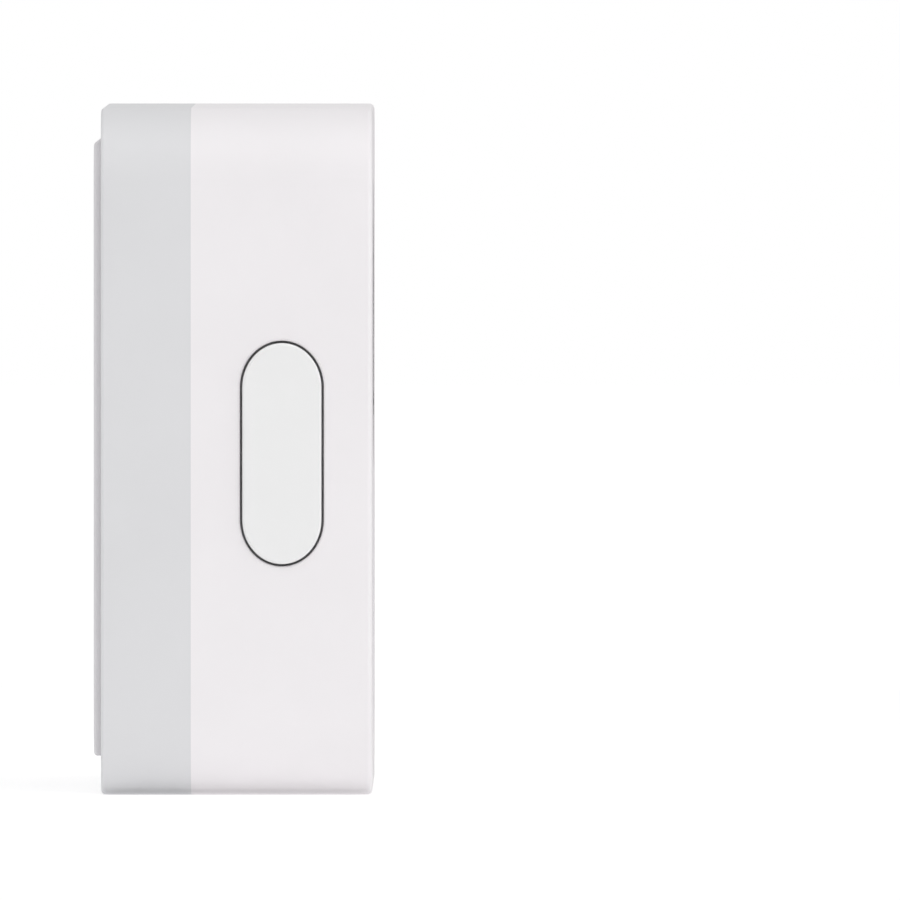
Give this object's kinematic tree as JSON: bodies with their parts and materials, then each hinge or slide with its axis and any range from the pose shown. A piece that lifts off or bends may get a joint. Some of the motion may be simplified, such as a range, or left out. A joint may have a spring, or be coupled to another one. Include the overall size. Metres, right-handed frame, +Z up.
{
  "type": "video doorbell",
  "caption": "Square battery video doorbell: white front cover, grey rear housing, camera window, lit call button, pill-shaped side push button and wall mounting plate.",
  "frame": {"origin": "centre of the mounting plate's wall face, level with the middle of the body", "axes": "+Z up, front faces -Y, +Y into the wall, +X to the right of a visitor who faces the front"},
  "size_m": [0.0806, 0.0325, 0.08],
  "materials": {
    "antenna": "copper on film",
    "antenna_cable": "coax jacket",
    "battery_cells": "plain jackets",
    "battery_contacts": "nickel plated strip",
    "battery_door": "matt grey",
    "battery_door_screw": "zinc plated",
    "battery_door_seal": "silicone",
    "battery_leads": "wire jacket",
    "battery_springs": "nickel plated wire",
    "battery_tray": "black ABS",
    "bell_symbol": "second-shot grey",
    "board_connectors": "nylon",
    "call_button": "satin",
    "call_switch": "switch case",
    "call_switch_plunger": "plunger",
    "camera_board": "solder resist",
    "camera_window": "gloss black acrylic",
    "flex_cables": "polyimide",
    "front_cover": "matt, very fine moulded texture",
    "housing_screws": "zinc plated",
    "housing_seal": "silicone",
    "image_sensor": "sensor package",
    "infrared_leds": "tinted epoxy",
    "lens_barrel": "black anodised",
    "lens_bezel": "dark anodised",
    "lens_glass": "coated",
    "lens_holder": "black",
    "lens_shroud": "light seal",
    "light_ring": "satin translucent",
    "light_sensor": "clear package",
    "main_board": "solder resist",
    "main_board_screws": "black zinc",
    "microphone": "metal can",
    "microphone_boot": "silicone",
    "motion_lens": "infrared-clear dark polymer",
    "motion_sensor": "metal can",
    "mounting_plate": "matt grey",
    "power_parts": "ferrite and cans",
    "processor_and_memory": "epoxy package",
    "radio_module": "epoxy package",
    "radio_shield": "tin plated",
    "rear_housing": "matt light grey, fine moulded texture",
    "ring_leds": "LED package",
    "security_screw": "stainless",
    "side_button": "matt",
    "side_button_seal": "dark silicone",
    "side_switch": "switch case",
    "side_switch_board": "solder resist",
    "side_switch_plunger": "plunger",
    "small_board_screws": "black zinc",
    "speaker_cone": "film diaphragm",
    "speaker_frame": "basket",
    "speaker_gasket": "foam",
    "speaker_magnet": "magnet",
    "speaker_mesh": "water-repellent mesh",
    "speaker_wires": "wire jacket",
    "switch_domes": "spring steel",
    "tape_pads": "foam tape with liner",
    "window_gasket": "foam adhesive"
  },
  "bodies": {
    "housing": {"antenna": "antenna", "antenna_cable": "antenna_cable", "battery_cells": "battery_cells", "battery_contacts": "battery_contacts", "battery_door": "battery_door", "battery_door_screw": "battery_door_screw", "battery_door_seal": "battery_door_seal", "battery_leads": "battery_leads", "battery_springs": "battery_springs", "battery_tray": "battery_tray", "board_connectors": "board_connectors", "call_switch": "call_switch", "camera_board": "camera_board", "camera_window": "camera_window", "flex_cables": "flex_cables", "front_cover": "front_cover", "housing_screws": "housing_screws", "housing_seal": "housing_seal", "image_sensor": "image_sensor", "infrared_leds": "infrared_leds", "lens_barrel": "lens_barrel", "lens_bezel": "lens_bezel", "lens_glass": "lens_glass", "lens_holder": "lens_holder", "lens_shroud": "lens_shroud", "light_ring": "light_ring", "light_sensor": "light_sensor", "main_board": "main_board", "main_board_screws": "main_board_screws", "microphone": "microphone", "microphone_boot": "microphone_boot", "motion_lens": "motion_lens", "motion_sensor": "motion_sensor", "mounting_plate": "mounting_plate", "power_parts": "power_parts", "processor_and_memory": "processor_and_memory", "radio_module": "radio_module", "radio_shield": "radio_shield", "rear_housing": "rear_housing", "ring_leds": "ring_leds", "security_screw": "security_screw", "side_button_seal": "side_button_seal", "side_switch": "side_switch", "side_switch_board": "side_switch_board", "small_board_screws": "small_board_screws", "speaker_cone": "speaker_cone", "speaker_frame": "speaker_frame", "speaker_gasket": "speaker_gasket", "speaker_magnet": "speaker_magnet", "speaker_mesh": "speaker_mesh", "speaker_wires": "speaker_wires", "switch_domes": "switch_domes", "tape_pads": "tape_pads", "window_gasket": "window_gasket"},
    "side_button": {"side_button": "side_button", "side_switch_plunger": "side_switch_plunger"},
    "call_button": {"call_button": "call_button", "bell_symbol": "bell_symbol", "call_switch_plunger": "call_switch_plunger"}
  },
  "joints": [
    {"name": "side_button_press", "type": "slide", "parent": "housing", "child": "side_button", "axis": [1, 0, 0], "range_m": [0, 0.0008], "stiffness_N_per_m": 1500, "springref_m": -0.0005},
    {"name": "call_button_press", "type": "slide", "parent": "housing", "child": "call_button", "axis": [0, 1, 0], "range_m": [0, 0.0008], "stiffness_N_per_m": 1500, "springref_m": -0.0005}
  ]
}
